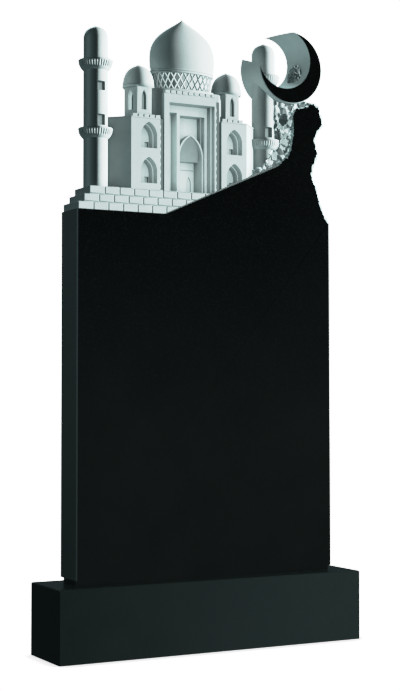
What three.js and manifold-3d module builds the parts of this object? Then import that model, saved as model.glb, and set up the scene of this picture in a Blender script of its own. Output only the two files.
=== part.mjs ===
// A carved granite headstone: an upright slab on a plinth. The slab's head is cut into a domed
// mosque on three courses of masonry, with a crescent on a rough pillar at its right.
// Millimetres, +Z up, X across the face, the polished face toward -Y.
// The origin is the middle of the plinth's underside.

import * as THREE from "three";
import { mergeVertices } from "three/addons/utils/BufferGeometryUtils.js";
import Module from "manifold-3d";

const wasm = await Module();
wasm.setup();

// Plinth
const plinthWidth = 700;
const plinthDepth = 150;
const plinthHeight = 147;
const plinthArris = 2;
const beddingGap = 0.3;
const bedHeight = 11;
const bedFrontInset = 10;
const bedSideInset = 2;

// Slab
const slabWidth = 600;
const slabThickness = 80;
const slabHeight = 753;
const slabArris = 2;
const carvingSetback = 2;

// Masonry courses under the mosque
const courseHeight = 16;
const courseCount = 3;
const firstStepIn = 4;
const stepIn = 12.4;
const brickLength = 32.8;
const firstBrickLength = 34;
const jointWidth = 2.6;
const jointDepth = 3;

// Mosque body
const minaretFromEdge = 57;
const minaretFromAxis = 198.5;
const wingInnerLeft = 69.1;
const wingInnerRight = 74.5;
const wingOuter = 135.5;
const wingHeight = 148.2;
const rightRise = 6;
const wingChamfer = 48;
const portalLeft = 60.2;
const portalRight = 61.8;
const portalHeight = 203.2;
const cornerSlotDepth = 22;
const ropePitch = 15;
const ropeRadius = 4.2;
const beadWidthShare = 0.7;
const beadHeightShare = 1.5;
const merlonHeight = 6;
const merlonDepth = 9;
const merlonPitch = 13;
const merlonGap = 2.4;
const corniceDepth = 1.6;

// Niches of the wings, one over another
const nicheLevels = 2;
const nicheWidth = 37;
const nicheHeight = 54;
const nicheSpring = 25;
const nicheDepth = 35;
const nicheFromAxisLeft = 95;
const nicheFromAxisRight = 106;
const nicheSill = 13;
const slitWidth = 9;
const slitHeight = 18;
const slitDepth = 8;
const slitOffset = 11;
const nichePitch = 72.5;

// Portal recesses, from the outside in
const outerRecessLeft = 48.2;
const outerRecessRight = 58;
const outerRecessHeight = 184;
const outerRecessDepth = 27.5;
const innerRecessHeight = 164.5;
const innerRecessDepth = 28.5;
const innerRecessRight = 48.5;
const sideSlotLeft = 46;
const sideSlotRight = 17;
const mullionWidth = 6.8;
const sideSlotHeight = 169;
const doorFrameSetback = 6;
const doorArchRise = 47;
const doorArchHeight = 127;
const doorRim = 3.4;
const hoodDepth = 19;
const doorHeight = 72;
const doorDepth = 18;
const doorWidth = 34;
const doorNicheDepth = 3;
const doorNicheFromLeft = 20.4;
const doorNicheWidth = 10.2;
const doorNicheSpring = 28.8;
const doorNicheHeight = 43.2;

// Drum and main dome, oval in plan
const baseDrumRadius = 92;
const baseDrumDepthShare = 0.4;
const baseDrumHeight = 215;
const baseDrumChamfer = 3;
const drumSeat = 10;
const drumRadius = 64.5;
const drumFlare = 5;
const drumTop = 251;
const domeRingRadius = 71.5;
const domeRingHeight = 8;
const domeRingGroove = 2;
const domeRingBevel = 3;
const domeRadius = 74;
const domeFootRadius = 71.4;
const domeShoulderRadius = 73.5;
const domeShoulderDrop = 12;
const domeFullness = 3.5;
const domeWidestAt = 281.7;
const domeHeight = 370;
const domeDepthShare = 0.52;
const latticeCount = 28;
const latticeRelief = 2.4;
const latticeRows = [0, 0.28, 0.64, 1];

// Kiosks, the small six-sided turrets beside the main dome
const kioskSides = 6;
const kioskFromAxisLeft = 101.5;
const kioskFromAxisRight = 106;
const kioskRightRise = 3;
const kioskRadius = 32;
const kioskDrumTop = 216;
const kioskRingRadius = 33.5;
const kioskRingHeight = 6;
const kioskDomeRadius = 32.5;
const kioskDomeTop = 263.5;
const kioskFullness = 10;
const kioskNicheWidth = 10;
const kioskNicheSill = 166;
const kioskNicheHeight = 40;
const kioskNicheSpring = 25;
const kioskNicheDepth = 11;

// Minarets
const minaretRadius = 25;
const minaretHeight = 333.5;
const minaretShoulder = 306.5;
const balconyRadius = 35;
const lowerBalconyTop = 122;
const upperBalconyTop = 262;
const balconyHeight = 21;
const corbelShare = 0.6;
const corbelBelly = 0.7;
const balconyRibs = 14;
const balconyRibDepth = 1.5;
const minaretFullness = 8;
const windowWidth = 17;
const windowDepth = 18;
const lowerWindowSill = 126.5;
const lowerWindowHeight = 22.5;
const upperWindowSill = 197.5;
const upperWindowHeight = 19;

// Polished field above the shoulder, rock pillar and crescent
const fieldStartFromAxis = 60;
const fieldSlope = 0.444;
const fieldLap = 5;
const pillarFromRight = 135;
const pillarNeck = 102;
const pillarTop = 260;
const crescentFromRight = 99.6;
const crescentCentre = 334;
const crescentRadius = 78;
const crescentHollowRadius = 64.5;
const crescentHollowTaper = 7;
const crescentHollowLean = 3;
const crescentFlare = 2;
const crescentHollowLeft = 15.7;
const crescentHollowUp = 17.2;
const crescentFacets = 64;
const seatLeft = 30;
const seatIntoMinaret = 11;
const seatFromFront = 12;
const seatFromBack = 3;
const chipCount = 12;
const chipSize = 15;
const chipSpread = 5;
const chipStandOff = 0.78;

// Facets of the round forms
const domeSides = 36;
const baseDrumSides = 32;
const minaretSides = 28;
const archSteps = 6;
const smallArchSteps = 3;
const kioskRingSides = 24;
const beadSides = 8;
const beadRows = 6;
const domeSteps = 11;
const smallCapSteps = 7;

// Worked out from the sizes above
const front = -slabThickness / 2;
const back = slabThickness / 2;
const carved = front + carvingSetback;
const slabFoot = plinthHeight + beddingGap;
const shoulder = slabFoot + slabHeight;
const ground = shoulder + courseCount * courseHeight;
const axisX = -slabWidth / 2 + minaretFromEdge + minaretFromAxis;
const rightEdge = slabWidth / 2;
const wingTop = ground + wingHeight;
const portalTop = ground + portalHeight;
const outerTop = ground + outerRecessHeight;
const outerBack = carved + outerRecessDepth;
const innerTop = ground + innerRecessHeight;
const innerBack = outerBack + innerRecessDepth;
const innerRight = axisX + innerRecessRight;
const slotHead = ground + sideSlotHeight;
const mullionRight = axisX - sideSlotRight + mullionWidth;
const through = 20;
const lap = 1;
const weldDistance = 1e-4;

// A closed three.js geometry as a solid
function solid(geometry) {
  const plain = geometry.index ? geometry.toNonIndexed() : geometry.clone();
  for (const name of Object.keys(plain.attributes)) {
    if (name !== "position") plain.deleteAttribute(name);
  }
  const merged = mergeVertices(plain, weldDistance);
  const corners = Array.from(merged.index.array);
  const kept = [];
  for (let i = 0; i < corners.length; i += 3) {
    const [a, b, c] = corners.slice(i, i + 3);
    if (a !== b && b !== c && c !== a) kept.push(a, b, c);
  }
  const vertProperties = new Float32Array(merged.attributes.position.array);
  const triVerts = new Uint32Array(kept);
  return new wasm.Manifold(new wasm.Mesh({ numProp: 3, vertProperties, triVerts }));
}

function joined(solids) {
  return solids.reduce((all, next) => all.add(next));
}

// A shape drawn as seen from the front, X across and Z up, between two depths
function plate(shape, y0, y1, curveSegments = 8) {
  const geometry = new THREE.ExtrudeGeometry(shape, { depth: y1 - y0, bevelEnabled: false, curveSegments });
  geometry.rotateX(Math.PI / 2);
  geometry.translate(0, y1, 0);
  return solid(geometry);
}

// A shape drawn in plan, X and Y, between two heights
function column(shape, z0, z1, curveSegments = 8) {
  const geometry = new THREE.ExtrudeGeometry(shape, { depth: z1 - z0, bevelEnabled: false, curveSegments });
  geometry.translate(0, 0, z0);
  return solid(geometry);
}

// A shape drawn as seen from the right, Y across and Z up, between two places along X
function beam(shape, x0, x1) {
  const geometry = new THREE.ExtrudeGeometry(shape, { depth: x1 - x0, bevelEnabled: false });
  geometry.rotateY(Math.PI / 2);
  geometry.rotateX(Math.PI / 2);
  geometry.translate(x0, 0, 0);
  return solid(geometry);
}

function polygon(points) {
  return new THREE.Shape(points.map(([x, y]) => new THREE.Vector2(x, y)));
}

function block(x0, x1, y0, y1, z0, z1) {
  const geometry = new THREE.BoxGeometry(x1 - x0, y1 - y0, z1 - z0);
  geometry.translate((x0 + x1) / 2, (y0 + y1) / 2, (z0 + z1) / 2);
  return solid(geometry);
}

// A turned form on a vertical axis, from its foot to its top: pairs of radius and height
function turned(x, y, profile, sides, depthShare = 1) {
  const points = profile.map(([radius, z]) => new THREE.Vector2(radius, z));
  const geometry = new THREE.LatheGeometry(points, sides, 0, Math.PI * 2);
  geometry.rotateX(Math.PI / 2);
  geometry.scale(1, depthShare, 1);
  geometry.translate(x, y, 0);
  return solid(geometry);
}

// Radius and height up a dome or cap that closes in a point; the fuller, the shorter its point
function cap(radius, z0, zTop, steps, fullness) {
  const points = [];
  for (let i = 0; i < steps; i += 1) {
    const t = Math.sin((i / steps) * (Math.PI / 2));
    points.push([radius * Math.sqrt(1 - t * t) * (1 - t ** fullness), z0 + (zTop - z0) * t]);
  }
  points.push([0, zTop]);
  return points;
}

// A pointed arch, as seen from the front
function pointedArch(centreX, sill, width, springAbove, apexAbove) {
  const half = width / 2;
  const rise = apexAbove - springAbove;
  const radius = (half * half + rise * rise) / (2 * half);
  const spring = sill + springAbove;
  const sweep = Math.atan2(rise, radius - half);
  const shape = new THREE.Shape();
  shape.moveTo(centreX - half, sill);
  shape.lineTo(centreX + half, sill);
  shape.lineTo(centreX + half, spring);
  shape.absarc(centreX + half - radius, spring, radius, 0, sweep, false);
  shape.absarc(centreX - half + radius, spring, radius, Math.PI - sweep, Math.PI, false);
  shape.lineTo(centreX - half, sill);
  return shape;
}

// Left ends of the masonry courses, each set in from the one below
function courseLeft(course) {
  return -slabWidth / 2 + firstStepIn + course * stepIn;
}

function masonry() {
  const right = rightEdge - pillarFromRight + through;
  const courses = [];
  for (let course = 0; course < courseCount; course += 1) {
    const z1 = shoulder + (course + 1) * courseHeight;
    const z0 = z1 - courseHeight - (course === 0 ? lap : 0);
    courses.push(block(courseLeft(course), right, carved, back, z0, z1));
  }
  return joined(courses);
}

function masonryJoints() {
  const cuts = [];
  const half = jointWidth / 2;
  const jointBack = carved + jointDepth;
  for (let course = 0; course < courseCount; course += 1) {
    const z0 = shoulder + course * courseHeight;
    const z1 = z0 + courseHeight;
    if (course > 0) {
      const left = courseLeft(course) - through;
      cuts.push(block(left, fieldX(z0), front - lap, jointBack, z0 - half, z0 + half));
    }
    const end = fieldX(z1) - jointWidth;
    for (let x = courseLeft(course) + firstBrickLength; x < end; x += brickLength) {
      cuts.push(block(x - half, x + half, front - lap, jointBack, z0 + half, z1));
    }
  }
  return joined(cuts);
}

// Where the sloping edge of the polished field stands at a height
function fieldX(z) {
  return axisX - fieldStartFromAxis + (z - shoulder) / fieldSlope;
}

// A side wing: two niches over each other, a 45-degree outer corner, and merlons on its cornice
function wing(side) {
  const x = (fromAxis) => axisX + side * fromAxis;
  const inner = side < 0 ? wingInnerLeft : wingInnerRight;
  const nicheX = x(side < 0 ? nicheFromAxisLeft : nicheFromAxisRight);
  const top = ground + wingHeight + (side > 0 ? rightRise : 0);
  const outerEnd = wingOuter + wingChamfer;
  const plan = (proud) => {
    const points = [
      [x(inner), carved - proud],
      [x(inner), back],
      [x(outerEnd), back],
      [x(outerEnd), carved - proud + wingChamfer],
      [x(wingOuter), carved - proud],
    ];
    return polygon(side > 0 ? points.reverse() : points);
  };
  let body = column(plan(0), ground - lap, top);
  body = body.add(column(plan(corniceDepth), top - corniceDepth, top + lap));
  for (let level = 0; level < nicheLevels; level += 1) {
    const sill = ground + nicheSill + level * nichePitch;
    const arch = pointedArch(nicheX, sill, nicheWidth, nicheSpring, nicheHeight);
    const nicheBack = carved + nicheDepth;
    const slitLeft = nicheX + slitOffset - slitWidth / 2;
    const slitBack = nicheBack + slitDepth;
    const slit = block(slitLeft, slitLeft + slitWidth, nicheBack - lap, slitBack, sill, sill + slitHeight);
    body = body.subtract(plate(arch, front - lap, nicheBack, archSteps)).subtract(slit);
  }
  const merlons = Math.floor((wingOuter - inner) / merlonPitch);
  for (let i = 0; i < merlons; i += 1) {
    const a = x(inner + i * merlonPitch + merlonGap / 2);
    const b = x(inner + (i + 1) * merlonPitch - merlonGap / 2);
    const depth = [carved - corniceDepth, carved + merlonDepth];
    body = body.add(block(Math.min(a, b), Math.max(a, b), ...depth, top, top + merlonHeight));
  }
  return body;
}

// The tall portal block between two corner slots, each with a beaded rope
function portal() {
  const left = axisX - portalLeft;
  const right = axisX + portalRight;
  const [y0, y1] = [carved - corniceDepth, carved + merlonDepth];
  let body = block(left, right, carved, back, ground - lap, portalTop);
  const merlons = Math.round((right - left) / merlonPitch);
  const pitch = (right - left) / merlons;
  for (let i = 0; i < merlons; i += 1) {
    const x0 = left + i * pitch + merlonGap / 2;
    const x1 = x0 + pitch - merlonGap;
    body = body.add(block(x0, x1, y0, y1, portalTop - lap, portalTop + merlonHeight));
  }
  const slotTop = portalTop - merlonHeight;
  const slotBack = carved + cornerSlotDepth;
  const slots = [axisX - wingInnerLeft - lap, axisX + wingInnerRight + lap];
  body = body.add(block(...slots, slotBack, back, ground - lap, slotTop));
  for (const [x, ropeTop] of [[axisX - wingInnerLeft, ground + wingHeight], [right, slotTop]]) {
    for (let z = ground + ropePitch / 2; z < ropeTop; z += ropePitch) {
      const bead = new THREE.SphereGeometry(ropeRadius, beadSides, beadRows);
      bead.scale(beadWidthShare, 1, beadHeightShare);
      bead.translate(x, carved + ropeRadius, z);
      body = body.add(solid(bead));
    }
  }
  return body;
}

// The portal's nested recesses, cut once the drum behind it is in place
function portalRecesses() {
  const outerSides = [axisX - outerRecessLeft, axisX + outerRecessRight];
  const outer = block(...outerSides, front - lap, outerBack, ground, outerTop);
  const slotSides = [axisX - sideSlotLeft, axisX - sideSlotRight];
  const slot = block(...slotSides, outerBack - lap, innerBack, ground, slotHead);
  const inner = block(mullionRight, innerRight, outerBack - lap, innerBack, ground, innerTop);
  return joined([outer, slot, inner]);
}

// The arched door frame in the inner recess, with a hood that slopes back to the doorway's head
function door() {
  const frameWidth = innerRight - mullionRight;
  const doorX = (innerRight + mullionRight) / 2;
  const spring = doorArchHeight - doorArchRise;
  const frame = pointedArch(doorX, ground - lap, frameWidth + lap / 2, spring + lap, doorArchHeight + lap);
  const opening = pointedArch(doorX, ground, frameWidth - 2 * doorRim, spring, doorArchHeight - doorRim);
  const doorFront = outerBack + doorFrameSetback;
  const hoodBack = doorFront + hoodDepth;
  const apex = ground + doorArchHeight;
  const head = ground + doorHeight;
  const past = hoodBack + lap;
  const slope = polygon([[past, apex], [doorFront, apex], [hoodBack, head], [past, head]]);
  const hood = beam(slope, mullionRight, innerRight);
  const left = doorX - frameWidth / 2 + doorRim;
  const doorBack = hoodBack + doorDepth;
  const nicheX = left + doorNicheFromLeft;
  const arch = pointedArch(nicheX, ground, doorNicheWidth, doorNicheSpring, doorNicheHeight);
  const niche = plate(arch, doorBack - lap, doorBack + doorNicheDepth, smallArchSteps);
  return plate(frame, doorFront, innerBack + lap, archSteps)
    .subtract(plate(opening, doorFront - lap, hoodBack, archSteps).subtract(hood))
    .subtract(block(left, left + doorWidth, hoodBack - lap, doorBack, ground, head))
    .subtract(niche);
}

// A band of sunk diamonds around the oval drum
function latticeBand(z0, z1) {
  const rows = latticeRows.map((share) => z0 + (z1 - z0) * share);
  const columns = latticeCount * 2;
  const at = (row, column, sunk) => {
    const angle = (column / columns) * Math.PI * 2;
    const share = (rows[row] - z0) / (z1 - z0);
    const radius = drumRadius + drumFlare * share - (sunk ? latticeRelief : 0);
    return [axisX + radius * Math.cos(angle), radius * domeDepthShare * Math.sin(angle), rows[row]];
  };
  const triangles = [];
  const inside = (row) => row > 0 && row < rows.length - 1;
  const ridge = (row, column) => at(row, column, inside(row) && (row + column) % 2 === 1);
  for (let row = 0; row + 1 < rows.length; row += 1) {
    for (let column = 0; column < columns; column += 1) {
      const a = ridge(row, column);
      const b = ridge(row, column + 1);
      const c = ridge(row + 1, column + 1);
      const d = ridge(row + 1, column);
      if ((row + column) % 2 === 0) triangles.push(a, b, c, a, c, d);
      else triangles.push(a, b, d, b, c, d);
    }
  }
  for (let column = 0; column < columns; column += 1) {
    triangles.push([axisX, 0, rows[0]], ridge(0, column + 1), ridge(0, column));
    const top = rows.length - 1;
    triangles.push([axisX, 0, rows[top]], ridge(top, column), ridge(top, column + 1));
  }
  const geometry = new THREE.BufferGeometry();
  geometry.setAttribute("position", new THREE.Float32BufferAttribute(triangles.flat(), 3));
  return solid(geometry);
}

function mainDome() {
  const foot = wingTop - drumSeat;
  const baseTop = ground + baseDrumHeight;
  const baseProfile = [
    [0, foot],
    [baseDrumRadius, foot],
    [baseDrumRadius, baseTop - baseDrumChamfer],
    [baseDrumRadius - baseDrumChamfer, baseTop],
    [0, baseTop],
  ];
  const base = turned(axisX, 0, baseProfile, baseDrumSides, baseDrumDepthShare);
  const lattice = latticeBand(baseTop - 2 * lap, ground + drumTop);
  const ringFoot = ground + drumTop - domeRingBevel;
  const ringTop = ringFoot + domeRingHeight;
  const ringProfile = [
    [0, ringFoot],
    [drumRadius + drumFlare, ringFoot],
    [domeRingRadius, ringFoot + domeRingBevel],
    [domeRingRadius, ringTop - domeRingBevel],
    [domeRingRadius - domeRingGroove, ringTop - domeRingBevel / 2],
    [domeRingRadius, ringTop],
    [0, ringTop],
  ];
  const ring = turned(axisX, 0, ringProfile, domeSides, domeDepthShare);
  const domeFoot = ringTop - lap;
  const widest = ground + domeWidestAt;
  const shell = cap(domeRadius, widest, ground + domeHeight, domeSteps, domeFullness);
  const domeProfile = [
    [0, domeFoot],
    [domeFootRadius, domeFoot],
    [domeShoulderRadius, widest - domeShoulderDrop],
    ...shell,
  ];
  const dome = turned(axisX, 0, domeProfile, domeSides, domeDepthShare);
  return joined([base, lattice, ring, dome]);
}

// A kiosk: a six-sided drum with a flat side to the front, an eaves ring and a small dome
function kiosk(side) {
  const x = axisX + (side < 0 ? -kioskFromAxisLeft : kioskFromAxisRight);
  const rise = side < 0 ? 0 : kioskRightRise;
  const foot = wingTop - drumSeat;
  const eaves = ground + kioskDrumTop + rise;
  const drum = new THREE.CylinderGeometry(kioskRadius, kioskRadius, eaves - foot, kioskSides);
  drum.rotateX(Math.PI / 2);
  drum.rotateZ(Math.PI / kioskSides);
  drum.translate(x, 0, (eaves + foot) / 2);
  const ringFoot = eaves - kioskRingHeight / 2;
  const ringTop = eaves + kioskRingHeight / 2;
  const ringProfile = [
    [0, ringFoot],
    [kioskRadius - lap, ringFoot],
    [kioskRingRadius, eaves - lap],
    [kioskRingRadius, ringTop],
    [0, ringTop],
  ];
  const ring = turned(x, 0, ringProfile, kioskRingSides);
  const top = ground + kioskDomeTop + rise;
  const domeFoot = ringTop - lap;
  const shell = cap(kioskDomeRadius, domeFoot, top, smallCapSteps, kioskFullness);
  const dome = turned(x, 0, [[0, domeFoot], ...shell], kioskRingSides);
  let body = joined([solid(drum), ring, dome]);
  const apothem = kioskRadius * Math.cos(Math.PI / kioskSides);
  const arch = pointedArch(0, 0, kioskNicheWidth, kioskNicheSpring, kioskNicheHeight);
  const settings = { depth: kioskNicheDepth + 2 * lap, bevelEnabled: false, curveSegments: smallArchSteps };
  for (const turn of [-1, 0, 1]) {
    const niche = new THREE.ExtrudeGeometry(arch, settings);
    niche.rotateX(Math.PI / 2);
    niche.translate(0, -apothem + kioskNicheDepth, ground + kioskNicheSill + rise);
    niche.rotateZ((turn * 2 * Math.PI) / kioskSides);
    niche.translate(x, 0, 0);
    body = body.subtract(solid(niche));
  }
  return body;
}

// A balcony on its rounded corbel, ribbed round its rim
function balcony(x, top) {
  const sides = balconyRibs * 2;
  const foot = top - balconyHeight;
  const corbel = balconyHeight * corbelShare;
  const belly = minaretRadius + corbelBelly * (balconyRadius - minaretRadius);
  const profile = [
    [0, foot],
    [minaretRadius, foot],
    [belly, foot + corbel / 2],
    [balconyRadius, foot + corbel],
    [balconyRadius, top],
    [0, top],
  ];
  const points = profile.map(([radius, z]) => new THREE.Vector2(radius, z));
  const geometry = new THREE.LatheGeometry(points, sides, 0, Math.PI * 2);
  geometry.rotateX(Math.PI / 2);
  const place = geometry.attributes.position;
  for (let i = 0; i < place.count; i += 1) {
    const radius = Math.hypot(place.getX(i), place.getY(i));
    const spoke = Math.round((Math.atan2(place.getY(i), place.getX(i)) / (Math.PI * 2)) * sides);
    const sunk = spoke % 2 !== 0 && radius > minaretRadius + lap && place.getZ(i) < top - lap;
    if (sunk) place.setX(i, place.getX(i) * (1 - balconyRibDepth / radius));
    if (sunk) place.setY(i, place.getY(i) * (1 - balconyRibDepth / radius));
  }
  geometry.translate(x, 0, 0);
  return solid(geometry);
}

// A minaret; the right one stands higher, behind the crescent, which carries its upper balcony
function minaret(side, disc) {
  const x = axisX + side * minaretFromAxis;
  const foot = ground + (side > 0 ? rightRise : 0);
  const [capFoot, capTip] = [foot + minaretShoulder, foot + minaretHeight];
  const tip = cap(minaretRadius, capFoot, capTip, smallCapSteps, minaretFullness);
  const shaft = turned(x, 0, [[0, ground - lap], [minaretRadius, ground - lap], ...tip], minaretSides);
  const upper = balcony(x, foot + upperBalconyTop);
  let body = joined([shaft, balcony(x, foot + lowerBalconyTop), side > 0 ? upper.intersect(disc) : upper]);
  const windows = [[lowerWindowSill, lowerWindowHeight]];
  if (side < 0) windows.push([upperWindowSill, upperWindowHeight]);
  for (const [sill, height] of windows) {
    const z0 = foot + sill;
    const half = windowWidth / 2;
    body = body.subtract(block(x - half, x + half, front, -minaretRadius + windowDepth, z0, z0 + height));
  }
  return body;
}

// The polished field above the shoulder: a sloping edge, then the ragged rock pillar at the right
function fieldAndPillar() {
  const foot = rightEdge - pillarFromRight;
  const slopeEnd = shoulder + (foot - fieldX(shoulder)) * fieldSlope;
  const neck = rightEdge - pillarNeck;
  const height = pillarTop;
  const leftSide = [
    [foot + 10, slopeEnd + 8],
    [neck - 8, shoulder + 0.54 * height],
    [neck, shoulder + 0.59 * height],
    [neck + 7, shoulder + 0.76 * height],
    [neck + 4, shoulder + 0.88 * height],
    [neck + 14, shoulder + 0.95 * height],
    [neck + 36, shoulder + 0.965 * height],
    [neck + 52, shoulder + height],
    [neck + 62, shoulder + height + 2],
  ];
  const rightSide = [
    [rightEdge - 26, shoulder + 0.98 * height],
    [rightEdge - 19, shoulder + 0.89 * height],
    [rightEdge - 16, shoulder + 0.82 * height],
    [rightEdge - 29, shoulder + 0.77 * height],
    [rightEdge - 37, shoulder + 0.69 * height],
    [rightEdge - 28, shoulder + 0.58 * height],
    [rightEdge - 43, shoulder + 0.45 * height],
    [rightEdge - 42, shoulder + 0.37 * height],
    [rightEdge - 31, shoulder + 0.28 * height],
    [rightEdge - 23, shoulder + 0.16 * height],
    [rightEdge - 10, shoulder + 0.05 * height],
    [rightEdge - slabArris, shoulder + slabArris],
    [rightEdge - slabArris, shoulder - fieldLap],
  ];
  const fieldFoot = shoulder - fieldLap;
  const outline = [[fieldX(fieldFoot), fieldFoot], [foot, slopeEnd], ...leftSide, ...rightSide];
  let body = plate(polygon(outline.reverse()), front, back);
  // The seat runs on to the left until it stands under the crescent and is one with the minaret
  const minaretSide = axisX + minaretFromAxis + minaretRadius;
  const seatEnd = Math.min(neck - seatLeft, minaretSide - seatIntoMinaret);
  const seat = polygon([
    [seatEnd, shoulder + 0.75 * height],
    [rightEdge - 24, shoulder + 0.9 * height],
    [rightEdge - 32, shoulder + height + 4],
    [rightEdge - 62, shoulder + height + 9],
    [seatEnd, shoulder + height + 10],
  ]);
  body = body.add(plate(seat, front + seatFromFront, back - seatFromBack));
  const flank = [[foot, slopeEnd], ...leftSide.slice(0, 5)];
  for (let i = 0; i < chipCount; i += 1) {
    const along = (i / chipCount) * (flank.length - 1);
    const k = Math.floor(along);
    const x = flank[k][0] + (flank[k + 1][0] - flank[k][0]) * (along - k);
    const z = flank[k][1] + (flank[k + 1][1] - flank[k][1]) * (along - k);
    const size = chipSize + chipSpread * Math.sin(i * 2.3);
    const chip = new THREE.IcosahedronGeometry(size, 0);
    chip.rotateX(i * 1.7);
    chip.rotateZ(i * 0.9);
    chip.translate(x - size * chipStandOff, front + seatFromFront + ((i * 31) % 50), z);
    body = body.subtract(solid(chip));
  }
  return body;
}

// The crescent: a disc that widens a little toward the back, with an off-centre round hollow
// that narrows toward the back and leans out to the gap between the horns
function crescent() {
  const x = rightEdge - crescentFromRight;
  const z = shoulder + crescentCentre;
  const backRadius = crescentRadius + crescentFlare;
  const disc = new THREE.CylinderGeometry(backRadius, crescentRadius, slabThickness, crescentFacets);
  disc.translate(x, 0, z);
  const grow = (crescentHollowTaper * through) / slabThickness;
  const reach = slabThickness + 2 * through;
  const leanSlope = crescentHollowLean / slabThickness;
  const leanHalf = crescentHollowLean / 2;
  const radii = [crescentHollowRadius - crescentHollowTaper - grow, crescentHollowRadius + grow];
  const hollow = new THREE.CylinderGeometry(...radii, reach, crescentFacets);
  const leaning = new THREE.Matrix4().makeShear(0, 0, -leanSlope, leanSlope, 0, 0);
  hollow.applyMatrix4(leaning);
  hollow.translate(x - crescentHollowLeft - leanHalf, 0, z + crescentHollowUp + leanHalf);
  return { disc: solid(disc), hollow: solid(hollow) };
}

// The upright slab on its bed, a low foot set in on all sides
function slab() {
  const left = -slabWidth / 2;
  const plan = polygon([
    [left, back],
    [left, front + slabArris],
    [left + slabArris, front],
    [rightEdge - slabArris, front],
    [rightEdge, front + slabArris],
    [rightEdge, back],
  ]);
  const across = [left + bedSideInset, rightEdge - bedSideInset];
  const deep = [front + bedFrontInset, back - bedFrontInset];
  const bed = block(...across, ...deep, slabFoot, slabFoot + bedHeight + lap);
  return column(plan, slabFoot + bedHeight, shoulder).add(bed);
}

function stele() {
  const moon = crescent();
  const mosque = joined([masonry(), wing(-1), wing(1), portal(), mainDome(), kiosk(-1), kiosk(1)]);
  const cut = mosque.subtract(portalRecesses()).add(door()).subtract(masonryJoints());
  const head = fieldAndPillar().subtract(moon.hollow).add(moon.disc.subtract(moon.hollow));
  return joined([slab(), cut, head, minaret(-1, moon.disc), minaret(1, moon.disc)]);
}

function plinth() {
  const shape = polygon([
    [-plinthWidth / 2, -plinthDepth / 2],
    [plinthWidth / 2, -plinthDepth / 2],
    [plinthWidth / 2, plinthDepth / 2],
    [-plinthWidth / 2, plinthDepth / 2],
  ]);
  const geometry = new THREE.ExtrudeGeometry(shape, {
    depth: plinthHeight - plinthArris,
    bevelEnabled: false,
  });
  const body = solid(geometry);
  const lid = [];
  for (const [inset, z] of [[0, plinthHeight - plinthArris], [plinthArris, plinthHeight]]) {
    const hw = plinthWidth / 2 - inset;
    const hd = plinthDepth / 2 - inset;
    lid.push([-hw, -hd, z], [hw, -hd, z], [hw, hd, z], [-hw, hd, z]);
  }
  const faces = [0, 2, 1, 0, 3, 2, 4, 5, 6, 4, 6, 7];
  for (let i = 0; i < 4; i += 1) {
    const j = (i + 1) % 4;
    faces.push(i, j, j + 4, i, j + 4, i + 4);
  }
  const top = new THREE.BufferGeometry();
  top.setAttribute("position", new THREE.Float32BufferAttribute(lid.flat(), 3));
  top.setIndex(faces);
  return body.add(solid(top));
}

function mesh(name, body, material) {
  const { vertProperties, triVerts, numProp } = body.getMesh();
  const positions = new Float32Array((vertProperties.length / numProp) * 3);
  for (let i = 0; i < positions.length / 3; i += 1) {
    for (let k = 0; k < 3; k += 1) positions[i * 3 + k] = vertProperties[i * numProp + k];
  }
  const geometry = new THREE.BufferGeometry();
  geometry.setAttribute("position", new THREE.BufferAttribute(positions, 3));
  geometry.setIndex(Array.from(triVerts));
  geometry.computeVertexNormals();
  const made = new THREE.Mesh(geometry, material);
  made.name = name;
  return made;
}

const polishedGranite = new THREE.MeshStandardMaterial({ color: 0x14181a, roughness: 0.12, metalness: 0 });
const milledGranite = new THREE.MeshStandardMaterial({ color: 0xb9c7c5, roughness: 0.8, metalness: 0 });

const headstone = new THREE.Group();
headstone.add(mesh("plinth", plinth(), polishedGranite));
headstone.add(mesh("stele", stele(), milledGranite));

export default headstone;
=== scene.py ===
import math

import bmesh
import bpy
import numpy as np
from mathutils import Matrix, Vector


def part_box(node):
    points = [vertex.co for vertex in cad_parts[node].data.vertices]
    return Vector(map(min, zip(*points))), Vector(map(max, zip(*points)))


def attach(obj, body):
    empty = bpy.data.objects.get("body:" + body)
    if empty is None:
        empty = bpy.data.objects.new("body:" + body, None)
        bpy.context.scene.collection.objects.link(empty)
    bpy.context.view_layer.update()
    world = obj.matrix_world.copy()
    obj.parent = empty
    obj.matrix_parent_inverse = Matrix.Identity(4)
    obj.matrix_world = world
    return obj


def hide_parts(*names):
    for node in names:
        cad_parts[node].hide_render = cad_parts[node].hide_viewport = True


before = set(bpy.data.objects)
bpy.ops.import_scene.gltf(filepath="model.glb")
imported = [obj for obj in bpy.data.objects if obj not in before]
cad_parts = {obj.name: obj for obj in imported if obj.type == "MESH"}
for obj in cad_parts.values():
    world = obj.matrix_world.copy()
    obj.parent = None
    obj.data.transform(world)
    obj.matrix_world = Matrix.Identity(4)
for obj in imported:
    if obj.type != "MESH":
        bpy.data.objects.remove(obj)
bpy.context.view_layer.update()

# The view: the stone is seen from its left front, a little above the middle of the slab, through a
# long lens that looks slightly up.
mm = 0.001
camera_place = (-1476.8, -2770.6, 532.9)
camera_azimuth = 28.042
camera_pitch = 1.7913
camera_lens = 77.585
sensor_width = 36
view_reach = 200
camera = bpy.data.objects.new("camera", bpy.data.cameras.new("camera"))
camera.location = [value * mm for value in camera_place]
camera.rotation_euler = (math.radians(90 + camera_pitch), 0, math.radians(-camera_azimuth))
camera.data.lens = camera_lens
camera.data.sensor_width = sensor_width
camera.data.clip_end = view_reach
bpy.context.collection.objects.link(camera)
bpy.context.scene.camera = camera

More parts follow.
